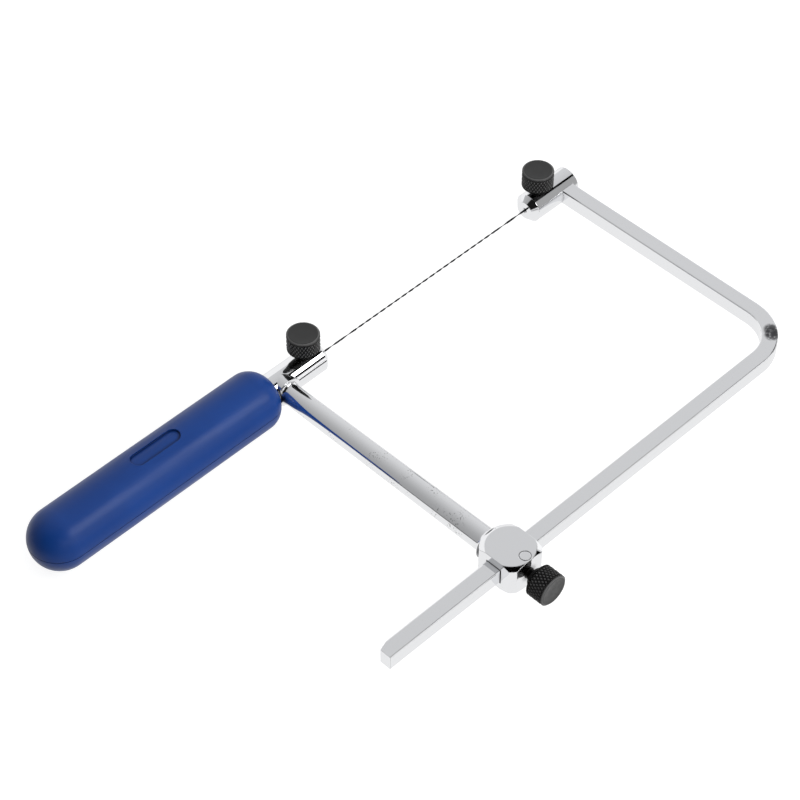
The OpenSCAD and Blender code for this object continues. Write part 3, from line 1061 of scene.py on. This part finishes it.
@dataclass
class Studio:
    """The floor, the lamps, the cards that the metal mirrors, and the camera."""

    camera_place: Point = (-0.4395, -0.41891, 0.68301)
    azimuth: float = -45.095
    elevation: float = 46.953
    roll: float = 0.134
    lens: float = 120.83
    sky_tint: Colour = (0.985, 0.99, 1.0)
    sky_level: float = 0.54
    sky_slope: Point = (0.22, 0.1, 0.0)
    sky_foot: Span = (-0.12, -0.08)
    floor_size: float = 6.0
    floor_white: float = 0.32
    floor_lift: float = 0.86

    def build(self) -> None:
        """Sets up the whole studio."""
        scene = bpy.context.scene
        scene.view_settings.view_transform = "Standard"
        self.world(scene)
        self.floor()
        self.lamps()
        self.cards()
        self.camera(scene)

    def world(self, scene: bpy.types.Scene) -> None:
        """Gives the scene a pale surround, a little brighter on the right and dark below.

        Args:
            scene: The scene.
        """
        surround = bpy.data.worlds.new("surround")
        surround.use_nodes = True
        tree = surround.node_tree
        back = tree.nodes["Background"]
        back.inputs["Color"].default_value = (*self.sky_tint, 1.0)
        coords = tree.nodes.new("ShaderNodeTexCoord")
        parts = tree.nodes.new("ShaderNodeSeparateXYZ")
        tree.links.new(coords.outputs["Generated"], parts.inputs["Vector"])
        lean = tree.nodes.new("ShaderNodeVectorMath")
        lean.operation = "DOT_PRODUCT"
        lean.inputs[1].default_value = self.sky_slope
        tree.links.new(coords.outputs["Generated"], lean.inputs[0])
        across = tree.nodes.new("ShaderNodeMath")
        across.operation = "ADD"
        across.inputs[1].default_value = self.sky_level
        tree.links.new(lean.outputs["Value"], across.inputs[0])
        above = tree.nodes.new("ShaderNodeMapRange")
        above.inputs["From Min"].default_value = self.sky_foot[0]
        above.inputs["From Max"].default_value = self.sky_foot[1]
        tree.links.new(parts.outputs["Z"], above.inputs["Value"])
        level = tree.nodes.new("ShaderNodeMath")
        level.operation = "MULTIPLY"
        tree.links.new(across.outputs["Value"], level.inputs[0])
        tree.links.new(above.outputs["Result"], level.inputs[1])
        tree.links.new(level.outputs["Value"], back.inputs["Strength"])
        scene.world = surround

    def floor(self) -> None:
        """Lays a white floor that keeps the saw's shadow."""
        deselect_all()
        bpy.ops.mesh.primitive_plane_add(size=self.floor_size)
        floor = bpy.context.object
        floor.name = "floor"
        material = bpy.data.materials.new("floor_white")
        material.use_nodes = True
        tree = material.node_tree
        tree.nodes.clear()
        paint = tree.nodes.new("ShaderNodeBsdfDiffuse")
        paint.inputs["Color"].default_value = (self.floor_white,) * 3 + (1.0,)
        lift = tree.nodes.new("ShaderNodeEmission")
        rays = tree.nodes.new("ShaderNodeLightPath")
        seen = tree.nodes.new("ShaderNodeMath")
        seen.operation = "ADD"
        mirrored = tree.nodes.new("ShaderNodeMath")
        mirrored.operation = "ADD"
        tree.links.new(rays.outputs["Is Glossy Ray"], mirrored.inputs[0])
        tree.links.new(rays.outputs["Is Transmission Ray"], mirrored.inputs[1])
        tree.links.new(rays.outputs["Is Camera Ray"], seen.inputs[0])
        tree.links.new(mirrored.outputs["Value"], seen.inputs[1])
        share = tree.nodes.new("ShaderNodeMath")
        share.operation = "MULTIPLY"
        share.inputs[1].default_value = self.floor_lift
        tree.links.new(seen.outputs["Value"], share.inputs[0])
        tree.links.new(share.outputs["Value"], lift.inputs["Strength"])
        both = tree.nodes.new("ShaderNodeAddShader")
        tree.links.new(paint.outputs["BSDF"], both.inputs[0])
        tree.links.new(lift.outputs["Emission"], both.inputs[1])
        output = tree.nodes.new("ShaderNodeOutputMaterial")
        tree.links.new(both.outputs["Shader"], output.inputs["Surface"])
        floor.data.materials.append(material)
        floor.visible_glossy = False

    def lamps(self) -> None:
        """Hangs the soft overhead lamp and stands a fill lamp in front of the handle."""
        for name, place, size, energy in (
            ("overhead", (0.1, 0.25, 1.3), (1.4, 1.2), 1.5),
            ("front_fill", (-0.2, -0.75, 0.35), (0.8, 0.3), 3.0),
        ):
            lamp = bpy.data.lights.new(name, "AREA")
            lamp.shape = "RECTANGLE"
            lamp.size, lamp.size_y = size
            lamp.energy = energy
            hung = bpy.data.objects.new(name, lamp)
            hung.location = place
            hung.rotation_euler = Vector(place).to_track_quat("Z", "Y").to_euler()
            hung.visible_glossy = False
            bpy.context.scene.collection.objects.link(hung)

    def cards(self) -> None:
        """Sets the softbox in front on the right and the white, grey and dark cards round it."""
        for card in (
            Card(
                "softbox_low",
                ((0.05, -0.64, -0.085), (0.43, -0.64, -0.085), (0.43, -0.486, 0.25), (0.05, -0.486, 0.25)),
                1.3,
                Show.LIGHT,
            ),
            Card(
                "softbox_top",
                ((0.05, -0.486, 0.25), (0.43, -0.486, 0.25), (0.43, -0.325, 0.6), (0.05, -0.325, 0.6)),
                4.5,
                Show.LIGHT,
            ),
            Card(
                "grey_right",
                ((0.44, -0.64, -0.12), (1.3, -0.64, -0.12), (1.3, -0.325, 0.6), (0.44, -0.325, 0.6)),
                0.4,
            ),
            Card(
                "dark_lip",
                ((0.05, -0.325, 0.6), (0.6, -0.325, 0.6), (0.6, -0.12, 0.6), (0.05, -0.15, 0.6)),
                0.0,
            ),
            Card(
                "dark_edge",
                ((0.6, -0.325, 0.6), (0.95, -0.325, 0.6), (0.95, 0.2, 0.6), (0.62, 0.2, 0.6)),
                0.0,
            ),
            Card(
                "dark_rail",
                (
                    (-0.07, -0.085, 0.052),
                    (0.16, -0.085, 0.052),
                    (0.16, -0.085, 0.1),
                    (-0.07, -0.085, 0.1),
                ),
                0.0,
            ),
            Card(
                "pale_rail",
                (
                    (-0.07, -0.085, 0.012),
                    (0.16, -0.085, 0.012),
                    (0.16, -0.085, 0.052),
                    (-0.07, -0.085, 0.052),
                ),
                1.05,
            ),
            Card(
                "dark_room",
                ((-1.2, 0.33, 0.1), (0.0, -0.9, 0.1), (0.0, -0.6, 0.75), (-0.9, 0.3, 0.75)),
                0.01,
            ),
            Card(
                "dark_ceiling",
                (
                    (-0.452, -0.141, 0.75),
                    (-0.141, -0.452, 0.75),
                    (0.05, -0.262, 0.78),
                    (-0.262, 0.05, 0.78),
                ),
                0.0,
            ),
            Card(
                "white_table",
                ((-0.55, -0.3, -0.1), (0.65, -0.3, -0.1), (0.95, 1.2, -0.1), (-0.55, 1.2, -0.1)),
                0.93,
            ),
            Card(
                "pale_apron",
                ((0.22, -0.2, -0.101), (1.0, -0.2, -0.101), (1.2, -0.9, -0.101), (0.58, -0.9, -0.101)),
                0.75,
            ),
            Card(
                "left_flag",
                ((-0.3, -0.1, 0.0), (-0.3, 0.4, 0.0), (-0.3, 0.4, 0.4), (-0.3, -0.1, 0.4)),
                0.0,
                Show.SHADE,
            ),
            Card(
                "pale_front",
                ((-0.7, -0.9, -0.1), (0.05, -0.9, -0.1), (0.05, -0.3, -0.1), (-0.7, -0.3, -0.1)),
                0.8,
            ),
            Card(
                "white_right",
                ((1.4, -0.3, -0.1), (1.4, 0.6, -0.1), (1.4, 0.6, 0.7), (1.4, -0.3, 0.7)),
                1.1,
            ),
            Card(
                "white_wall",
                ((-0.6, 1.2, -0.1), (0.95, 1.2, -0.1), (0.95, 1.2, 1.2), (-0.6, 1.2, 1.2)),
                1.0,
            ),
        ):
            card.build()
            LOG.info("card %s", card.name)

    def camera(self, scene: bpy.types.Scene) -> None:
        """Places the camera at the photograph's viewpoint.

        Args:
            scene: The scene.
        """
        side, rise = math.radians(self.azimuth), math.radians(self.elevation)
        back = Vector(
            (math.sin(side) * math.cos(rise), -math.cos(side) * math.cos(rise), math.sin(rise))
        )
        right = Vector((0, 0, 1)).cross(back).normalized()
        up = back.cross(right)
        lean = math.radians(self.roll)
        level = math.cos(lean) * right + math.sin(lean) * up
        upright = -math.sin(lean) * right + math.cos(lean) * up
        turn = Matrix((level, upright, back)).transposed().to_4x4()
        lens = bpy.data.cameras.new("viewpoint")
        lens.sensor_width = 36
        lens.lens = self.lens
        lens.clip_start = 0.01
        lens.clip_end = 20
        camera = bpy.data.objects.new("viewpoint", lens)
        camera.matrix_world = Matrix.Translation(self.camera_place) @ turn
        scene.collection.objects.link(camera)
        scene.camera = camera


@dataclass
class Saw:
    """The whole saw: its CAD nodes in their finishes, and the pieces that stand for the others."""

    finishes: Finishes
    nodes: dict[str, bpy.types.Object]

    def dress_nodes(self) -> None:
        """Gives every CAD node that stays its finish."""
        look = self.finishes
        wear = {
            look.handle: ("handle_upper_half", "handle_lower_half"),
            look.casting: ("frame_casting", "far_clamp_head"),
            look.bar: ("slide_bar",),
            look.rod: ("tang_rod", "tang_cross_pin"),
            look.brass: ("near_blade_pad", "far_blade_pad", "bar_lock_shoe"),
        }
        for finish, names in wear.items():
            material = finish.make()
            for name in names:
                dress(self.nodes[name], material)
                LOG.info("dressed %s in %s", name, material.name)

    def build_pieces(self) -> None:
        """Builds the screws and the blade."""
        black = self.finishes.screw.make()
        for screw in (
            ThumbScrew("near_blade_screw", "near_screw", Way.UP, 3.0 * MM, 3.19 * MM),
            ThumbScrew("far_blade_screw", "far_screw", Way.UP, 3.0 * MM, 3.19 * MM),
            # A weaker painted highlight on the lock screw's knurl.
            ThumbScrew("bar_lock_screw", "lock_screw", Way.FRONT, 3.6 * MM, 3.46 * MM, tip_highlight=0.4),
        ):
            piece = screw.build(black)
            LOG.info("built %s, %d faces", piece.name, len(piece.data.polygons))
        blade = SpiralBlade().build(self.finishes.blade.make())
        LOG.info("built %s, %d faces", blade.name, len(blade.data.polygons))


def clear_scene() -> None:
    """Removes whatever the new file holds."""
    for item in list(bpy.data.objects):
        bpy.data.objects.remove(item, do_unlink=True)


def main() -> None:
    """Loads the frame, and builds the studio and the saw."""
    logging.basicConfig(level=logging.INFO, format="%(message)s")
    clear_scene()
    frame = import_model()
    Studio().build()
    saw = Saw(Finishes(), frame["nodes"])
    saw.dress_nodes()
    saw.build_pieces()


if __name__ == "__main__":
    main()
